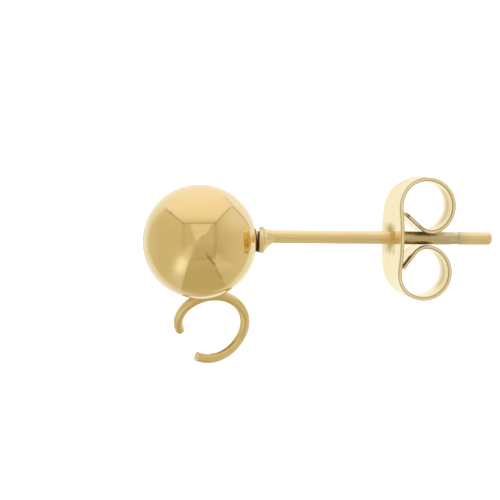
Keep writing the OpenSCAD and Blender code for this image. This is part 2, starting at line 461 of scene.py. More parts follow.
def wirePoint(spec, turn):
    # Middle of the wire at a turn round the ring, about the ball's centre
    a = math.radians(turn)
    outward, upward = ringAxes(spec)
    return (Vector((spec["along"] + spec["wide"] / 2 * math.sin(a), 0, 0))
            + outward * (spec["away"] - spec["tall"] / 2 * math.cos(a)) + upward * liftAt(spec["lift"], turn))


def wireSection(spec, turn, radius):
    # A round section of the wire, square to its run over a degree of turn
    along = (wirePoint(spec, turn + 0.5) - wirePoint(spec, turn - 0.5)).normalized()
    side = along.cross(ringAxes(spec)[1]).normalized()
    over = side.cross(along)
    middle = wirePoint(spec, turn)
    return [middle + (over * math.cos(a) + side * math.sin(a)) * radius for a in turnsRound(spec["sides"])]


def wireRings(spec):
    # Sections from the filed, rounded front end to the nipped back end
    first, last = spec["turns"]
    perMm = 360 / (math.pi * (spec["wide"] + spec["tall"]) / 2)  # degrees of turn in a mm of wire
    radius, tip, bevel, steps = spec["wireRadius"], spec["filedTip"], spec["cutBevel"], spec["steps"]
    rings = []
    for k in range(spec["filedSteps"]):
        u = 1 - k / spec["filedSteps"]
        shoulder = math.sqrt(max(1 - u ** spec["filedPower"], 0.0))
        turn = first + spec["filedLong"] * (1 - u) * perMm
        rings.append(wireSection(spec, turn, tip + (radius - tip) * shoulder))
    start, stop = first + spec["filedLong"] * perMm, last - bevel * perMm
    for k in range(steps + 1):
        rings.append(wireSection(spec, start + (stop - start) * k / steps, radius))
    rings.append(wireSection(spec, last, radius - bevel))
    onward = (wirePoint(spec, last) - wirePoint(spec, last - 1)).normalized()
    for ring in rings[-2:]:
        for k, a in enumerate(turnsRound(spec["sides"])):
            inner = max(math.sin(a), 0.0)
            ring[k] += onward * spec["cutSlant"] * inner ** spec["cutPower"]
    return rings


def wireGrain(spec, rings):
    # Each point's place on the straight wire: along it, and round it
    around = [point[1:] for point in circle(spec["wireRadius"], spec["sides"])]
    centres = [sum(ring, Vector()) / len(ring) for ring in rings]
    length = 0.0
    grain = []
    for before, centre in zip(centres[:1] + centres, centres):
        length += (centre - before).length
        grain += [(length, y, z) for y, z in around]
    return np.array(grain)


def makeRing(spec):
    rings = wireRings(spec)
    ring = loft("open_wire_ring", rings, studPlace)
    grain = wireGrain(spec, rings)
    setGrain(ring, grain)
    along = grain[:, 0]
    plated = smoothStep(0.0, spec["filedBare"], along) * smoothStep(0.0, spec["cutBare"], along.max() - along)
    setMark(ring, "bareAndPaintedLight", 1 - plated)
    # Painted contact shade on the wire where it meets the ball
    gap = np.linalg.norm(pointsOf(ring, studPlace), axis=1) - ballRadius / mm
    setMark(ring, "stainAndShade", 1 - smoothStep(0.0, spec["wireJointShade"], gap))
    shadeSmooth(ring)
    return ring


wireRing = makeRing(ringSpec)
finishPiece(wireRing, "ball", "stud", "ball", drawnWire)
print("ring made,", len(wireRing.data.polygons), "faces")


# Ear post: drawn wire with a collar set off its axis, a friction groove and a rounded tip
postSpec = {
    "radius": 0.35,
    "sides": 120,
    "bevel": 0.03,  # on the peg and on the solder seat
    "pegStart": 1.7,
    "seatRadius": 0.55,
    "seatOff": -0.27,  # the solder ran further to this side than the collar stands
    "seatGap": 0.02,
    "seatClear": 0.01,  # points further out than this past the seat are the rim's
    "rimStart": 3.16,
    "rimThick": 0.25,
    "rimRadius": 0.69,
    "rimRound": 0.05,
    "rimOff": -0.19,  # off the post's axis, towards the ring's side
    "rimTip": 9.5,  # degrees the collar is tipped, its upper side towards the ball
    "coneLong": 0.50,
    "coneStep": (0.012, 0.075),  # between rim and cone: along, and in
    "coneHollow": 1.35,  # 1 is a straight flank
    "reach": 15.779,  # its tip, from the ball's centre
    "tipRound": 0.18,
    "tipFlat": 0.02,
    "grooveBack": 1.829,  # the groove's end, back from the tip
    "grooveLong": 0.52,
    "grooveDeep": 0.03,
    "rimSteps": 6, "coneSteps": 12, "stemSteps": 40, "grooveSteps": 8, "endSteps": 7,
    "rimArc": 15, "tipArc": 9,  # degrees between the rings of a rounding
    "burr": 0.06,  # how far the cut-off rim stands up on one side
    "burrTurn": (30, 22),  # where, in degrees from its upper side towards the camera, and its spread
    "burrWaves": (0.7, 0.3, 0.55),  # its mean height, its waves' height, and radians of wave in a degree
    # Marks, in mm along the post
    "faceShade": 0.035,  # the seam's painted shade reaches this far back on the rim
    "fleckWaves": ((0.45, 34), (0.2, -21)),  # radians in a degree round the rim and in a mm along it
    "fleckRange": (-0.1, 0.35),  # how sharply the flecks on the burr stand out
    "fleckFade": (0.03, 0.05),  # they fade in over this on the rim, and out over this behind it
    "lineDark": ((-0.03, 0.0, 0.02, 0.05), 0.6),  # dark line behind the rim: where, and how much
    "loopReflection": ((10.4, 11.7, 13.8, 14.6), 0.75),  # painted reflection of the clutch's loops, greyer: fade in, full, full, fade out; how much
    "stainsAndShades": [  # fade in, full, full, fade out along the post; turn from its upper side and spread; how much
        # painted shade and dark reflections where the tongues grip the post, then darker bands on the cone,
        # by the groove and along the lower side
        ((10.3, 10.7, 12.0, 12.7), (38, 17), 0.80),
        ((11.1, 11.7, 12.4, 13.1), (55, 20), 0.95),
        ((10.3, 10.7, 12.0, 12.7), (154, 17), 0.80),
        ((11.1, 11.7, 12.2, 12.8), (139, 22), 0.95),
        ((3.50, 3.54, 3.75, 3.90), (90, 80), 0.38),
        ((13.05, 13.2, 13.6, 13.9), (50, 13), 0.42),
        ((13.80, 13.86, 13.90, 13.95), (90, 75), 0.55),
        ((3.9, 4.1, 14.9, 15.4), (165, 16), 0.5),
    ],
}
seatStart = ballRadius / mm + postSpec["seatGap"]
rimEnd = postSpec["rimStart"] + postSpec["rimThick"]
stemStart = rimEnd + postSpec["coneLong"]


def seatStations(spec):
    # The peg in the ball's hole and the solder under the collar, as along, centre's offset and radius
    r, bevel, seat, off = spec["radius"], spec["bevel"], spec["seatRadius"], spec["seatOff"]
    return [(spec["pegStart"], 0, r - bevel), (spec["pegStart"] + bevel, 0, r), (seatStart, 0, r),
            (seatStart, off, seat - bevel), (seatStart + bevel, off, seat), (spec["rimStart"], off, seat)]


def rimStations(spec):
    # The collar's rim, rounded at both of its corners
    front, off, rim, rounding = spec["rimStart"], spec["rimOff"], spec["rimRadius"], spec["rimRound"]
    straight, count = spec["rimThick"] - 2 * rounding, spec["rimSteps"]
    corner = [(rounding * (1 - c), rounding * (1 - s)) for s, c in quarterTurn(spec["rimArc"])]
    return ([(front + flat, off, rim - steep) for flat, steep in corner]
            + [(front + rounding + straight * k / count, off, rim) for k in range(1, count)]
            + [(rimEnd - steep, off, rim - flat) for flat, steep in corner])


def coneStations(spec):
    # The hollow flank from the rim down to the post
    r, count = spec["radius"], spec["coneSteps"]
    stepBack, stepIn = spec["coneStep"]
    stations = []
    for k in range(count + 1):
        ease = (1 - k / count) ** spec["coneHollow"]
        along = rimEnd + stepBack + (spec["coneLong"] - stepBack) * k / count
        stations.append((along, spec["rimOff"] * ease, r + (spec["rimRadius"] - stepIn - r) * ease))
    return stations


def stemStations(spec):
    # The plain post, its friction groove and its rounded tip
    r, deep, tip, reach = spec["radius"], spec["grooveDeep"], spec["tipRound"], spec["reach"]
    grooveEnd = reach - spec["grooveBack"]
    grooveStart = grooveEnd - spec["grooveLong"]
    slope = spec["grooveLong"] - deep
    stem, groove, end = spec["stemSteps"], spec["grooveSteps"], spec["endSteps"]
    return ([(stemStart + (grooveStart - stemStart) * k / stem, 0, r) for k in range(1, stem)]
            + [(grooveStart + slope * k / groove, 0, r - deep * k / groove) for k in range(groove + 1)]
            + [(grooveEnd + (reach - tip - grooveEnd) * k / end, 0, r) for k in range(end)]
            + [(reach - tip + tip * s, 0, r - tip + tip * c) for s, c in quarterTurn(spec["tipArc"])]
            + [(reach, 0, spec["tipFlat"])])


def aroundRim(spec, points):
    # How far points lie from the rim's own middle, and at what turn in degrees
    y, z = points[:, 1] - spec["rimOff"], points[:, 2]
    return np.hypot(y, z), np.degrees(np.arctan2(z, y))


def raiseBurr(post, spec):
    # Pushes one side of the rim outwards a little, unevenly
    points = pointsOf(post, postPlace)
    aside, turn = aroundRim(spec, points)
    onRim = (points[:, 0] > spec["rimStart"] - hair) & (points[:, 0] < rimEnd + hair)
    onRim &= aside > spec["seatRadius"] + spec["seatClear"]
    middle, spread = spec["burrTurn"]
    mean, wave, perDegree = spec["burrWaves"]
    standing = spec["burr"] * bell(turn - middle, spread) * (mean + wave * np.sin(turn * perDegree)) * onRim
    points[:, 1] += (points[:, 1] - spec["rimOff"]) / aside * standing
    points[:, 2] += points[:, 2] / aside * standing
    movePoints(post, postPlace, points)


def tipCollar(post, spec):
    # Tips the rim on the post; the seat's foot and the cone's end stay in line with it
    points = pointsOf(post, postPlace)
    along = points[:, 0]
    share = smoothStep(seatStart + spec["bevel"], spec["rimStart"], along)
    share *= 1 - smoothStep(rimEnd, stemStart, along)
    points[:, 0] = along - math.tan(math.radians(spec["rimTip"])) * share * points[:, 2]
    movePoints(post, postPlace, points)


def markPost(post, spec):
    # Painted reflection, painted shade and stains, on the post before its collar is tipped
    points = pointsOf(post, postPlace)
    along, turn = points[:, 0], np.degrees(np.arctan2(points[:, 2], points[:, 1]))
    aside, rimTurn = aroundRim(spec, points)
    front = spec["rimStart"]
    # Painted shade on the rim's face towards the ball, and a dark line behind the rim
    face = 1 - smoothStep(front, front + spec["faceShade"], along)
    stainsAndShades = [face * (aside > spec["seatRadius"] + spec["seatClear"])]
    middle, spread = spec["burrTurn"]
    fadeIn, fadeOut = spec["fleckFade"]
    onBurr = trapezoid((front, front + fadeIn, rimEnd, rimEnd + fadeOut), along)
    onBurr *= bell(rimTurn - middle, spread)
    flecks = 1.0
    for perDegree, perMm in spec["fleckWaves"]:
        flecks = flecks * np.sin(rimTurn * perDegree + along * perMm)
    stainsAndShades.append(onBurr * smoothStep(*spec["fleckRange"], flecks))
    corners, much = spec["lineDark"]
    stainsAndShades.append(much * trapezoid(corners, along - rimEnd))
    for corners, (at, spread), much in spec["stainsAndShades"]:
        stainsAndShades.append(much * trapezoid(corners, along) * bell(turn - at, spread))
    setMark(post, "stainAndShade", np.max(stainsAndShades, axis=0))
    # Painted reflection of the clutch's loops: the post greyer along them
    corners, much = spec["loopReflection"]
    setMark(post, "bareAndPaintedLight", much * trapezoid(corners, along))


def makePost(spec):
    stations = seatStations(spec) + rimStations(spec) + coneStations(spec) + stemStations(spec)
    rings = [circle(radius, spec["sides"], centreY=y, along=s) for s, y, radius in stations]
    post = loft("ear_post_turned", rings, postPlace)
    setGrain(post, [p for ring in rings for p in ring])
    back = postPlace.inverted()
    for face in post.data.polygons:  # the solder shows only in the seam
        along = (back @ face.center).x / mm
        face.material_index = 1 if seatStart - hair < along < spec["rimStart"] - hair else 0
    raiseBurr(post, spec)
    markPost(post, spec)
    tipCollar(post, spec)
    shadeSmooth(post)
    return post


def paintBallShade(ball, spec):
    # Painted shade round the collar's seat and where the wire is soldered on
    points = pointsOf(ball, postPlace)
    aside = aroundRim(postSpec, points)[0]
    seam = (1 - smoothStep(*spec["seamShade"], aside)) * (points[:, 0] > 0)
    soldered = range(-ringSpec["solderedTurns"], ringSpec["solderedTurns"] + 1)
    wire = np.array([wirePoint(ringSpec, turn) for turn in soldered])
    points = pointsOf(ball, studPlace)
    gap = np.min([np.linalg.norm(points - p, axis=1) for p in wire], axis=0) - ringSpec["wireRadius"]
    setMark(ball, "stainAndShade", np.maximum(seam, 1 - smoothStep(*spec["jointShade"], gap)))


paintBallShade(polishedBall, ballSpec)
finishPiece(polishedBall, "ball", "stud", "ball", polishedPlate)
earPost = makePost(postSpec)
finishPiece(earPost, "ear_post", "stud", "ear_post", drawnPost, shadedSolder)
print("post made,", len(earPost.data.polygons), "faces")


# Butterfly clutch: one pressed strip, a plate with a dimpled hole and two loops that meet at the post
clutchSpec = {
    "thick": 0.2,
    "plateWidth": 4.6,
    "plateHalf": 1.5,  # the plate is straight this far to either side of its middle
    "tongueWidth": 2.02,
    "taperRun": 4.0,  # from the plate's middle to where the tongue has its full narrowness
    "plateAt": 10.37,  # from the ball's centre
    "turn": 3.8,  # degrees round the post
    "cornerRound": 0.055,
    "cornerArc": 30,  # degrees between the points of that rounding
    "columns": 44,
    "bunched": 0.6,  # share of the columns' spacing that is drawn in towards the hole
    "bendStep": 3,  # degrees between sections in a bend
    "runStep": 0.06,  # mm between sections in a straight run
    "dimpleDeep": 0.24,
    "dimpleRadii": (0.42, 0.93),  # its bottom and its lip
    "belly": 0.06,  # how far bending draws the strip's middle towards the inside of a loop
    "bellyFull": 2.6,
    "wayRadius": 0.375,
    "wayRun": (-1.0, 4.5),  # from the plate
    "waySides": 64,
    "upperLoop": [  # run, bend radius, bend in degrees
        (1.54, 0, 0), (0, 1.63, 90), (0, 1.44, 150), (0, 0.92, 71), (0.98, 0, 0),
    ],
    "lowerLoop": [
        (1.66, 0, 0), (0, 1.53, 90), (0, 1.405, 160), (0, 0.92, 73), (0.95, 0, 0),
    ],
    # Marks: along and across the strip, in mm from the plate's middle; four numbers fade in and out
    "edgeShare": 0.7,  # a corner's rounding counts as the cut edge from here out
    "edgeShade": ((0.03, 0.075), 0.9),  # painted shade on the cut edge, off its middle line, and how much
    "skin": (-0.05, 0.03),  # thickness beyond which a point lies inside a loop, and outside
    "bandAlong": (4.9, 5.6, 7.3, 8.1),  # painted shade band inside the loops
    "bandAcross": (0.15, 0.40),  # its middle and spread, in half widths
    "bandMuch": 0.85,
    "holeAcross": (-2.1, -1.0, 0.93, 1.0),  # painted dark reflection round the hole
    "holeRadii": (0.6, 0.95),
    "holeMuch": (0.15, 0.65),  # in the dimple, and round it
    "holeMiddle": -0.07,
    "tongueAlong": (7.9, 8.6, 10.2, 10.4),  # painted shade on the tongues' outer corners
    "tongueMuch": (0.85, 0.595),  # lower and upper
    "tipAlong": (9.0, 9.5, 10.2, 10.4),  # painted shade on the lower tongue's tip, where it nears the plate
    "tipAcross": (0.2, 0.75),  # in half widths
    "upperEdgeDark": (((8.65, 8.85, 9.1, 9.4), 0.55), ((9.75, 9.95, 10.2, 10.4), 0.8)),  # darker at two places on that tongue's edge
}


def loopLine(spec, rows, side):
    # Centre line from the plate's middle to a tongue's tip, as x, y, heading in degrees and length so far
    x, y, heading, length = 0.0, 0.0, 90.0, 0.0
    line = []
    for run, bendRadius, bend in rows:
        count = math.ceil(bend / spec["bendStep"]) if bend else max(2, math.ceil(run / spec["runStep"]))
        startX, startY, startHeading, startLength = x, y, heading, length
        before = math.radians(startHeading)
        for k in range(1, count + 1):
            heading = startHeading - bend * k / count
            now = math.radians(heading)
            ran = run * k / count
            x = startX + ran * math.cos(now) + bendRadius * (math.sin(before) - math.sin(now))
            y = startY + ran * math.sin(now) + bendRadius * (math.cos(now) - math.cos(before))
            length = startLength + ran + bendRadius * (before - now)
            line.append((x, y, heading, length) if side > 0 else (x, -y, 180 - heading, -length))
    return line


def stripWidth(spec, length):
    u = min(1.0, abs(length) / spec["taperRun"])
    return spec["tongueWidth"] + (spec["plateWidth"] - spec["tongueWidth"]) * (1 - u * u) ** 2


def stripSection(spec, half):
    # Points round the strip's section as across and thickness
    t, c, columns, bunched = spec["thick"] / 2, spec["cornerRound"], spec["columns"], spec["bunched"]
    evenly = [-1 + 2 * k / columns for k in range(columns + 1)]
    outer = [(((1 - bunched) * u + bunched * u**3) * (half - c), t) for u in evenly]
    arc = quarterTurn(spec["cornerArc"])[1:]
    corner = [(half - c + c * sine, t - c + c * cosine) for sine, cosine in arc]
    near = outer + corner + [(half, 0.0)] + [(z, -n) for z, n in reversed(corner)]
    return near + [(-z, -n) for z, n in near]


def clutchRing(spec, station):
    # The section at a station of the centre line, bellied by bending and dimpled round the hole
    x, y, heading, length = station
    nx, ny = -math.sin(math.radians(heading)), math.cos(math.radians(heading))
    half = stripWidth(spec, length) / 2
    drawn = spec["belly"] * float(smoothStep(spec["plateHalf"], spec["bellyFull"], abs(length)))
    ring = []
    for across, thickness in stripSection(spec, half):
        sag = thickness - drawn * (1 - abs(across / half) ** 3)
        px, py = x + nx * sag, y + ny * sag
        if abs(length) < spec["plateHalf"]:
            px += spec["dimpleDeep"] * (1 - float(smoothStep(*spec["dimpleRadii"], math.hypot(py, across))))
        ring.append((px, py, across))
    return ring


def onFlatStrip(points, line):
    # Each point's place on the strip before it was bent: along, thickness and across
    gaps = np.hypot(points[:, :1] - line[:, 0], points[:, 1:2] - line[:, 1])
    nearest = line[gaps.argmin(axis=1)]
    dx, dy = points[:, 0] - nearest[:, 0], points[:, 1] - nearest[:, 1]
    c, s = np.cos(np.radians(nearest[:, 2])), np.sin(np.radians(nearest[:, 2]))
    return nearest[:, 3] + dx * c + dy * s, dy * c - dx * s, points[:, 2]


def markClutch(clutch, spec, place, line):
    points = pointsOf(clutch, place)
    along, thickness, across = onFlatStrip(points, line)
    setGrain(clutch, np.stack([along, across, thickness], axis=1))
    half = np.array([stripWidth(spec, length) / 2 for length in along])
    onEdge = np.abs(across) > half - spec["cornerRound"] * spec["edgeShare"]
    inside, outside = thickness < spec["skin"][0], thickness > spec["skin"][1]
    # Painted shade: the cut edge off its middle line, a band inside the loops, and the plate round its hole
    edgeRange, edgeMuch = spec["edgeShade"]
    wornAndPaintedLight = edgeMuch * smoothStep(*edgeRange, np.abs(thickness))
    middle, spread = spec["bandAcross"]
    band = spec["bandMuch"] * bell(across / half - middle, spread)
    band *= trapezoid(spec["bandAlong"], np.abs(along)) * inside
    hole = np.interp(np.hypot(points[:, 1], across), spec["holeRadii"], spec["holeMuch"])
    hole *= trapezoid(spec["holeAcross"], across) * (np.abs(along) < spec["plateHalf"])
    hole *= 1 - smoothStep(*spec["holeRadii"], np.abs(points[:, 1] - spec["holeMiddle"]))
    setMark(clutch, "bareAndPaintedLight", np.where(onEdge, wornAndPaintedLight, band + hole))
    # Painted shade on the tongues, and darker places on the upper tongue's edge
    lower, upper = spec["tongueMuch"]
    corner = np.where(along > 0, upper, lower) * trapezoid(spec["tongueAlong"], np.abs(along))
    tip = trapezoid(spec["tipAlong"], -along) * smoothStep(*spec["tipAcross"], across / half)
    stainAndShade = np.maximum(corner * onEdge, tip) * outside
    for corners, much in spec["upperEdgeDark"]:
        stainAndShade = np.maximum(stainAndShade, much * trapezoid(corners, along) * onEdge)
    setMark(clutch, "stainAndShade", stainAndShade)


def makeClutch(spec):
    upper, lower = loopLine(spec, spec["upperLoop"], 1), loopLine(spec, spec["lowerLoop"], -1)
    line = list(reversed(lower)) + [(0.0, 0.0, 90.0, 0.0)] + upper
    place = (postPlace @ Matrix.Translation((spec["plateAt"] * mm, 0, 0))
             @ Matrix.Rotation(math.radians(spec["turn"]), 4, "X"))
    rings = [clutchRing(spec, station) for station in line]
    face = len(rings[0]) // 2  # points on one face of the strip, its cut edge last
    edgeColumns = {k for k in range(2 * face) if k % face >= spec["columns"]}
    clutch = loft("butterfly_clutch", rings, place, edgeColumns)
    for material in (pressedStrip, shearedEdge):  # before the cut, which would drop the faces' materials
        clutch.data.materials.append(material)
    wayEnds = [spec["plateAt"] + s for s in spec["wayRun"]]
    way = [circle(spec["wayRadius"], spec["waySides"], along=s) for s in wayEnds]
    cutAway(clutch, loft("way", way, postPlace))
    markClutch(clutch, spec, place, np.array(line))
    shadeSmooth(clutch)
    return clutch


butterfly = makeClutch(clutchSpec)
finishPiece(butterfly, "clutch", "clutch", "clutch")
print("clutch made,", len(butterfly.data.polygons), "faces")


# Stage: a light tent that only reflections see, a white floor, and the dark spot under the ball
tentSpec = {
    "radius": 250.0,
    "rings": 150,
    "sectors": 360,
    "lastRing": 0.995,
    "gold": "#f9e3ac",  # the ball's own colour, which the tent's colours already hold
    # Places on the ball in ball radii: right, up
    "backTop": 0.31, "backFoot": -0.306, "backLeft": -0.272, "backRight": 0.282,
    "litLeft": ((-0.145, 0.272), (-0.063, -0.009)), "litLeftSoft": 0.05,
    "litRight": ((-0.063, -0.009), (0.156, 0.175)), "litRightSoft": 0.02,
    "litCorner": ((0.156, 0.175), (0.193, 0.273)), "litCornerSoft": 0.03,
    "roofLeft": ((-0.27, 0.28), (-0.50, 0.50)), "roofRight": ((0.272, 0.31), (0.50, 0.585)),
    "roofSoft": 0.03,
    "footLeft": ((-0.155, -0.271), (-0.29, -0.68)), "footRight": ((0.119, -0.184), (0.385, -0.658)),
    "wedgeEdge": ((0.29, -0.20), (0.72, -0.50)),
    "soft": 0.012,
    "cornerAngles": (118, 130, 150, 168),  # where the roof turns down into the left wall
    "rimSoft": (0.03, 0.05), "rimSoftAngles": (115, 130, 150, 170),  # at least, and this much more there
    "colours": {  # as the gold ball shows them
        "leftInner": "#cbaf6e", "leftMiddle": "#cbb06f", "leftOuter": "#d3ba7f",
        "leftHigh": "#d5b776", "leftLow": "#cfb97e",
        "rightInner": "#c9ac6d", "rightMiddle": "#cdb172", "rightOuter": "#d5b97c", "rightHigh": "#e1c890",
        "rightDull": "#c1a465", "wedgeHigh": "#d1b578", "wedgeMiddle": "#d4bb7f", "wedgeLow": "#c6ac6e",
        "backLit": "#e2c684", "backLeft": "#caae6e", "backRight": "#caad6e", "backFoot": "#bea262",
        "footHigh": "#c2a661", "footMiddle": "#bba05d", "footLow": "#c1a769",
        "roofSeam": "#d6b97a", "roofLow": "#e9cd8e", "roofMiddle": "#f1d594", "roofHigh": "#f6d8a0",
        "roofTop": "#f5dfac", "roofSide": "#efd29b",
        "streak": "#d7bb7c", "link": "#d2b679", "lamp": "#fae1a3", "halo": "#dfc586", "seam": "#8b7040",
        "rimRight": "#e9dcbb", "rimHighRight": "#f1dfbc", "rimTop": "#f7e6bc", "rimHighLeft": "#ecdcb2",
        "rimLeft": "#e7d9a8", "rimLowLeft": "#e2cfa4", "rimFoot": "#c5aa76", "rimLowRight": "#e3d4a2",
        "table": "#fdfdf8",
    },
    "ramps": {  # how far along a panel each colour is pure
        "left": ((0.3, "leftInner"), (0.68, "leftMiddle"), (0.85, "leftOuter")),
        "right": ((0.3, "rightInner"), (0.5, "rightMiddle"), (0.8, "rightOuter")),
        "wedge": ((0.28, "wedgeHigh"), (0.4, "wedgeMiddle"), (0.6, "wedgeLow")),
        "foot": ((0.35, "footHigh"), (0.5, "footMiddle"), (0.78, "footMiddle"), (0.9, "footLow")),
        "roof": ((0.33, "roofSeam"), (0.42, "roofLow"), (0.58, "roofMiddle"), (0.72, "roofHigh"),
                 (0.88, "roofTop")),
        "rim": ((0, "rimRight"), (45, "rimHighRight"), (90, "rimTop"), (140, "rimHighLeft"), (185, "rimLeft"),
                (235, "rimLowLeft"), (270, "rimFoot"), (315, "rimLowRight"), (360, "rimRight")),
    },
    "fades": {  # from, to, and how much at full
        "leftHigh": (0.10, 0.45, 0.8), "leftLow": (-0.5, -0.8, 1.0), "leftToRight": (0.0, 0.05, 1.0),
        "rightHighUp": (0.05, 0.4, 1.0), "rightHighOut": (0.15, 0.65, 1.0),
        "wedgeIn": (-0.01, 0.05, 1.0), "wedgeOut": (0.7, 0.86, 1.0),
        "backLeftToRight": (-0.05, 0.05, 1.0),
        "backFootDown": (0.05, -0.2, 1.0), "backFootRight": (-0.18, -0.05, 1.0),
        "roofSide": (0.25, 0.6, 0.5), "cornerOut": (0.76, 0.87, 1.0), "cornerToLeft": (126, 160, 1.0),
        "table": (0.95, 0.972, 1.0),
    },
    "glows": {  # from, to, half width and how much
        "rightDull": ((0.33, -0.08), (0.36, -0.16), 0.08, 0.8),
        "roofHigh": ((-0.55, 0.62), (0.1, 0.66), 0.025, 0.7),
        "streak": ((-0.19, -0.22), (-0.15, -0.11), 0.05, 0.9),
        "link": ((-0.15, -0.11), (-0.06, 0.0), 0.04, 0.5),
        "halo": ((-0.38, -0.55), (-0.22, -0.24), 0.12, 0.6),
        "lamp": ((-0.335, -0.45), (-0.30, -0.36), 0.10, 1.0),
    },
    "seams": [  # dark joints of the tent: from, to, half width and how dark
        ((-0.28, 0.31), (-0.50, 0.50), 0.013, 0.60),
        ((-0.50, 0.50), (-0.60, 0.55), 0.022, 0.22),
        ((0.272, 0.31), (0.50, 0.585), 0.011, 0.50),
        ((0.43, 0.78), (0.575, 0.62), 0.009, 0.40),
        ((0.575, 0.62), (0.80, 0.366), 0.009, 0.45),
        ((0.80, 0.366), (0.875, 0.23), 0.009, 0.40),
        ((-0.28, 0.31), (0.272, 0.322), 0.013, 0.42),
        ((0.282, 0.30), (0.282, -0.20), 0.030, 0.22),
        ((-0.272, 0.28), (-0.272, -0.12), 0.030, 0.16),
        ((-0.136, -0.306), (0.136, -0.306), 0.013, 0.30),
        ((0.115, -0.19), (0.15, -0.26), 0.012, 0.50),
        ((0.15, -0.26), (0.25, -0.385), 0.024, 0.85),
        ((0.25, -0.385), (0.37, -0.63), 0.013, 0.60),
        ((-0.155, -0.30), (-0.29, -0.68), 0.014, 0.15),
        ((0.01, 0.05), (0.07, 0.10), 0.014, 0.25),
        ((0.20, -0.26), (0.205, -0.25), 0.02, 0.35),
    ],
    "wallReach": [  # angle round the ball, and where the walls end and the bright table begins
        (0, 0.885), (20, 0.90), (35, 0.875), (48, 0.85), (60, 0.90), (90, 0.94), (115, 0.92), (140, 0.875),
        (160, 0.895), (180, 0.905), (210, 0.89), (235, 0.90), (270, 0.90), (300, 0.90), (330, 0.885),
        (360, 0.885),
    ],
}


def tone(name):
    return np.array(linearColour(tentSpec["colours"][name])[:3])


def mix(a, b, share):
    return a + (b - a) * share[:, None]


def ramp(name, value):
    # Blends a panel's colours along a value
    rows = tentSpec["ramps"][name]
    blend = tone(rows[0][1])
    for (start, first), (stop, colour) in zip(rows, rows[1:]):
        blend = mix(blend, tone(colour), np.clip((value - start) / (stop - start), 0, 1))
    return blend


def fade(name, value):
    start, stop, much = tentSpec["fades"][name]
    return smoothStep(start, stop, value) * much


def past(value, soft):
    # 0 before a line and 1 past it, with a soft edge
    return smoothStep(-soft, soft, value)


def leftOf(x, y, segment):
    # How far points lie to the left of the line through a segment, in ball radii
    (ax, ay), (bx, by) = segment
    length = math.hypot(bx - ax, by - ay)
    return ((bx - ax) * (y - ay) - (by - ay) * (x - ax)) / length


def glowAt(row, x, y):
    # Share of a soft line's colour at points, from a row of the glows or seams
    (ax, ay), (bx, by), wide, much = row
    dx, dy = bx - ax, by - ay
    t = np.clip(((x - ax) * dx + (y - ay) * dy) / (dx * dx + dy * dy), 0, 1)
    return bell(np.hypot(x - ax - t * dx, y - ay - t * dy), wide) * much


def sideWalls(spec, x, y, reach):
    # The walls to the left and right, and the wedge of wall low on the right
    left = mix(ramp("left", -x), tone("leftHigh"), fade("leftHigh", y))
    left = mix(left, tone("leftLow"), fade("leftLow", y))
    right = mix(ramp("right", x), tone("rightDull"), glowAt(spec["glows"]["rightDull"], x, y))
    right = mix(right, tone("rightHigh"), fade("rightHighUp", y) * fade("rightHighOut", x))
    inWedge = past(leftOf(x, y, spec["footRight"]), spec["soft"]) * (1 - fade("wedgeOut", reach))
    inWedge *= fade("wedgeIn", -leftOf(x, y, spec["wedgeEdge"]))
    walls = mix(mix(left, right, fade("leftToRight", x)), ramp("wedge", -y), inWedge)
    return walls, left


def backPanel(spec, x, y):
    # The panel round the camera, lit from above on its upper left, and where it is
    soft = spec["soft"]
    across = past(x - spec["backLeft"], soft) * past(spec["backRight"] - x, soft)
    up = past(spec["backTop"] - y, soft) * past(y - spec["backFoot"], soft)
    lit = 1.0
    for side in ("litLeft", "litRight", "litCorner"):
        lit = lit * past(leftOf(x, y, spec[side]), spec[side + "Soft"])
    back = mix(tone("backLeft"), tone("backRight"), fade("backLeftToRight", x))
    back = mix(back, tone("backFoot"), fade("backFootDown", y) * fade("backFootRight", x))
    return mix(back, tone("backLit"), lit), across * up


def footWall(spec, x, y):
    # The wall below, and where it is
    soft = spec["soft"]
    between = past(-leftOf(x, y, spec["footRight"]), soft) * past(leftOf(x, y, spec["footLeft"]), soft)
    return ramp("foot", -y), between * past(spec["backFoot"] - y, soft)


def roofPanel(spec, x, y):
    # The roof, and where it is
    roof = mix(ramp("roof", y), tone("roofSide"), fade("roofSide", np.abs(x)))
    roof = mix(roof, tone("roofHigh"), glowAt(spec["glows"]["roofHigh"], x, y))
    soft = spec["soft"]
    between = past(-leftOf(x, y, spec["roofLeft"]), soft) * past(leftOf(x, y, spec["roofRight"]), soft)
    return roof, between * past(y - spec["backTop"], spec["roofSoft"])


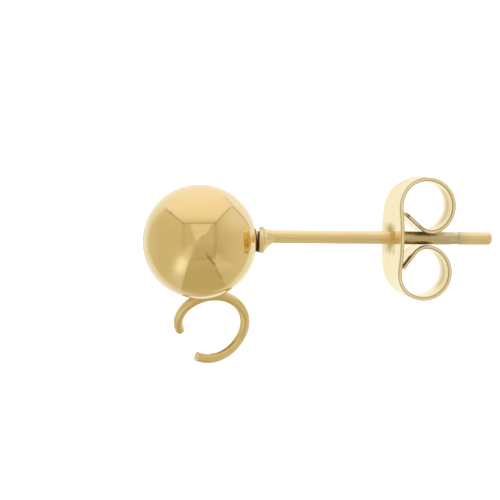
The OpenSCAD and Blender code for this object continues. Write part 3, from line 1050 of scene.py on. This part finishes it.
def tentLight(spec, x, y):
    # Light of the tent where the ball shows it at x, y
    reach = np.hypot(x, y)
    angles = np.degrees(np.arctan2(y, x)) % 360
    glow, left = sideWalls(spec, x, y, reach)
    glow = mix(glow, *backPanel(spec, x, y))
    glow = mix(glow, *footWall(spec, x, y))
    roof, inRoof = roofPanel(spec, x, y)
    glow = mix(glow, roof, inRoof)
    corner = fade("cornerOut", reach) * trapezoid(spec["cornerAngles"], angles)
    glow = mix(glow, mix(roof, left, fade("cornerToLeft", angles)), corner)
    for row in spec["seams"]:
        glow = mix(glow, tone("seam"), glowAt(row, x, y))
    # Lamp at the tent's opening, cut off by the wall below, and its streak
    uncut = past(-leftOf(x, y, spec["footLeft"]), spec["soft"])
    for name, seen in (("streak", 1.0), ("link", 1.0), ("halo", uncut), ("lamp", uncut)):
        glow = mix(glow, tone(name), glowAt(spec["glows"][name], x, y) * seen)
    # Rim of the mirror image, where the table comes in
    edge = np.interp(angles, *zip(*spec["wallReach"]))
    least, more = spec["rimSoft"]
    edgeSoft = least + more * trapezoid(spec["rimSoftAngles"], angles)
    glow = mix(glow, ramp("rim", angles), past((reach - edge) / edgeSoft, 1.0))
    gold = np.array(linearColour(spec["gold"])[:3])
    grazing = (1 - np.sqrt(1 - reach ** 2))[:, None] ** 5
    return mix(glow / (gold + (1 - gold) * grazing), tone("table"), fade("table", reach))


def makeLitFabric():
    # Nylon tent cloth with lamps behind it, which glows by itself
    material = bpy.data.materials.new("tentFabricLit")
    tree = emptyTree(material)
    material.cycles.emission_sampling = "NONE"
    colour = addNode(tree, "ShaderNodeAttribute", attribute_name="glow")
    light = addNode(tree, "ShaderNodeEmission", {"Color": colour.outputs["Color"], "Strength": 1.0})
    addNode(tree, "ShaderNodeOutputMaterial", {"Surface": light.outputs["Emission"]})
    return material


def glowSheet(name, middle, rows, glow, material, closed=False):
    # A round sheet, from its middle outwards, with a light of its own for each point
    body = bmesh.new()
    count = len(rows[0])
    centre = body.verts.new(middle)
    rings = [[body.verts.new(p) for p in row] for row in rows]
    for k in range(count):
        body.faces.new((centre, rings[0][k], rings[0][(k + 1) % count]))
    for near, far in zip(rings, rings[1:]):
        for k in range(count):
            n = (k + 1) % count
            body.faces.new((near[k], far[k], far[n], near[n]))
    if closed:
        body.faces.new(rings[-1])
    mesh = meshFrom(body, name)
    colours = np.ones((len(glow), 4), np.float32)
    colours[:, :3] = glow
    mesh.attributes.new("glow", "FLOAT_COLOR", "POINT").data.foreach_set("color", colours.ravel())
    mesh.materials.append(material)
    sheet = newObject(name, mesh)
    sheet.visible_camera = False
    sheet.visible_diffuse = False
    sheet.visible_shadow = False
    return sheet


def makeTent(spec, material):
    # A dome round the ball: each point lies where the ball would show it at its x, y
    shown = [(0.0, 0.0)]
    rows = []
    for i in range(1, spec["rings"] + 1):
        reach = spec["lastRing"] * i / spec["rings"]
        z = math.sqrt(1 - reach * reach)
        places = [(reach * math.cos(a), reach * math.sin(a)) for a in turnsRound(spec["sectors"])]
        directions = [viewAxes @ Vector((2 * z * x, 2 * z * y, 2 * z * z - 1)) for x, y in places]
        rows.append([ballCentre + direction * spec["radius"] * mm for direction in directions])
        shown += places
    x, y = np.array(shown).T
    middle = ballCentre - viewDirection * spec["radius"] * mm
    tent = glowSheet("light_tent", middle, rows, tentLight(spec, x, y), material, closed=True)


floorSpec = {
    "radius": 220.0,
    "sides": 96,
    "colour": "#f4f4f4",
    "roughness": 0.9,
    "ownLight": 0.62,  # washes the shadows out, as on a lit table
}


def makeFloor(spec):
    # White acrylic table with a light of its own
    body = bmesh.new()
    bmesh.ops.create_circle(body, cap_ends=True, segments=spec["sides"], radius=spec["radius"] * mm)
    mesh = meshFrom(body, "floor")
    material = bpy.data.materials.new("tableAcrylicWhite")
    tree = emptyTree(material)
    shader = addNode(tree, "ShaderNodeBsdfPrincipled", {
        "Base Color": linearColour(spec["colour"]), "Roughness": spec["roughness"],
        "Specular IOR Level": 0.0, "Emission Color": (1, 1, 1, 1), "Emission Strength": spec["ownLight"]})
    addNode(tree, "ShaderNodeOutputMaterial", {"Surface": shader.outputs["BSDF"]})
    mesh.materials.append(material)
    floor = newObject("floor", mesh)
    floor.visible_glossy = False  # the tent's backdrop shows in the gold instead


contactSpec = {
    "radius": 4.4,  # mm round the ball's foot
    "core": 2.1,
    "rings": 24,
    "sides": 48,
    "lift": 0.01,  # mm above the table
    "tone": "#5f4a28",
    "tableLight": 0.98,
}


def makeContactShade(spec, material):
    # The dark spot under the ball that only reflections see: the table there gets no light
    foot = Vector((ballCentre.x, ballCentre.y, spec["lift"] * mm))
    reaches = [spec["radius"] * k / spec["rings"] for k in range(1, spec["rings"] + 1)]
    rows = [[foot + Vector((x, y, 0)) * mm for along, x, y in circle(r, spec["sides"])] for r in reaches]
    outward = np.concatenate([[0.0], np.repeat(reaches, spec["sides"])])
    share = smoothStep(spec["core"], spec["radius"], outward)
    core = np.array(linearColour(spec["tone"])[:3])
    shade = glowSheet("contact_shade", foot, rows, mix(core, spec["tableLight"], share), material)


def makeWorld():
    world = bpy.data.worlds.new("studio")
    tree = emptyTree(world)
    light = addNode(tree, "ShaderNodeBackground", {"Color": (1, 1, 1, 1), "Strength": 1.0})
    addNode(tree, "ShaderNodeOutputWorld", {"Surface": light.outputs["Background"]})
    bpy.context.scene.world = world
    bpy.context.scene.view_settings.view_transform = "Standard"


litFabric = makeLitFabric()
makeTent(tentSpec, litFabric)
makeFloor(floorSpec)
makeContactShade(contactSpec, litFabric)
makeWorld()
print("stage made")
